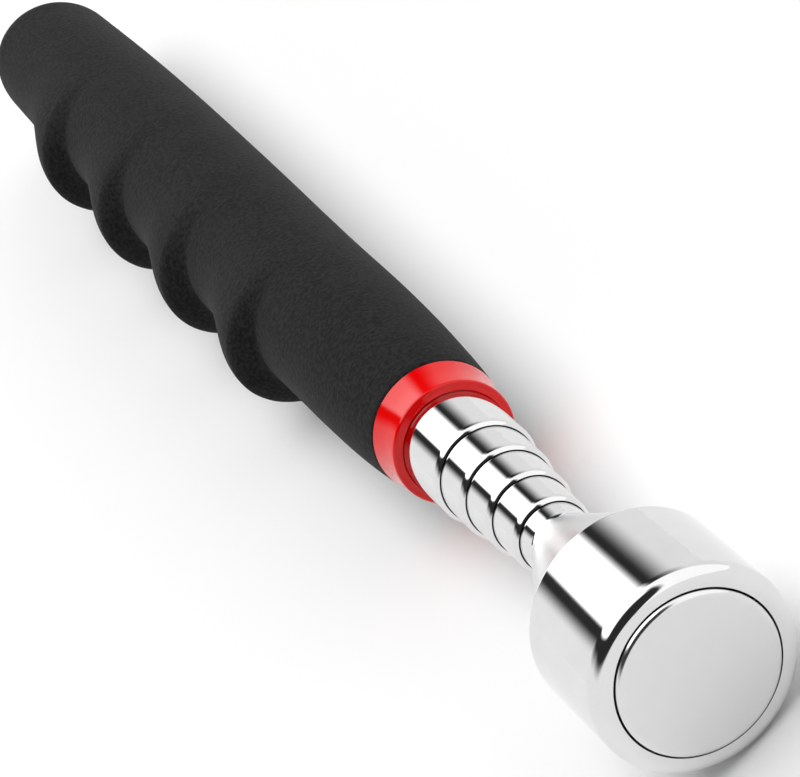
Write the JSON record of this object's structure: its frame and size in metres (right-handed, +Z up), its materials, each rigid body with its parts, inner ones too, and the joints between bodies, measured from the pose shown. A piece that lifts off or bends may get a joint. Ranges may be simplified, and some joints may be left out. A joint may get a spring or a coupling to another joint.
{
  "type": "telescoping magnetic pick-up tool",
  "caption": "Telescoping pick-up tool: a round magnet in a chromed cup on nested chromed tubes that pull out of a foam grip with finger swells and a red collar.",
  "frame": {"origin": "centre of the magnet's front face, on the tool's axis", "axes": "+Y along the tool from the magnet to the grip's domed end, +Z up with the tool lying on its side, -X the finger side of the grip"},
  "size_m": [0.021, 0.1941, 0.02],
  "materials": {
    "chrome": "polished",
    "magnet_face": "satin nickel plate",
    "red_plastic": "gloss",
    "black_plastic": "matte",
    "foam": "matte foam",
    "brass": "turned",
    "bronze": "rolled",
    "steel": "zinc plated"
  },
  "bodies": {
    "handle": {"foam_grip": "foam", "collar": "red_plastic", "tube_1": "chrome", "rear_plug": "black_plastic"},
    "springs_2": {"friction_springs_2": "bronze"},
    "stage_2": {"tube_2": "chrome", "base_bush_2": "brass"},
    "springs_3": {"friction_springs_3": "bronze"},
    "stage_3": {"tube_3": "chrome", "base_bush_3": "brass"},
    "springs_4": {"friction_springs_4": "bronze"},
    "stage_4": {"tube_4": "chrome", "base_bush_4": "brass"},
    "springs_5": {"friction_springs_5": "bronze"},
    "stage_5": {"tube_5": "chrome", "base_bush_5": "brass", "head_cup": "chrome", "magnet": "magnet_face", "neck_screw": "steel", "tube_plug": "steel"}
  },
  "joints": [
    {"name": "slide_2", "type": "slide", "parent": "handle", "child": "springs_2", "axis": [0, -1, 0], "range_m": [0, 0.119]},
    {"name": "spin_2", "type": "hinge", "parent": "springs_2", "child": "stage_2", "pos_m": [0, 0, 0], "axis": [0, -1, 0], "continuous": true},
    {"name": "slide_3", "type": "slide", "parent": "stage_2", "child": "springs_3", "axis": [0, -1, 0], "range_m": [0, 0.112]},
    {"name": "spin_3", "type": "hinge", "parent": "springs_3", "child": "stage_3", "pos_m": [0, 0, 0], "axis": [0, -1, 0], "continuous": true},
    {"name": "slide_4", "type": "slide", "parent": "stage_3", "child": "springs_4", "axis": [0, -1, 0], "range_m": [0, 0.104]},
    {"name": "spin_4", "type": "hinge", "parent": "springs_4", "child": "stage_4", "pos_m": [0, 0, 0], "axis": [0, -1, 0], "continuous": true},
    {"name": "slide_5", "type": "slide", "parent": "stage_4", "child": "springs_5", "axis": [0, -1, 0], "range_m": [0, 0.097]},
    {"name": "spin_5", "type": "hinge", "parent": "springs_5", "child": "stage_5", "pos_m": [0, 0, 0], "axis": [0, -1, 0], "continuous": true}
  ]
}
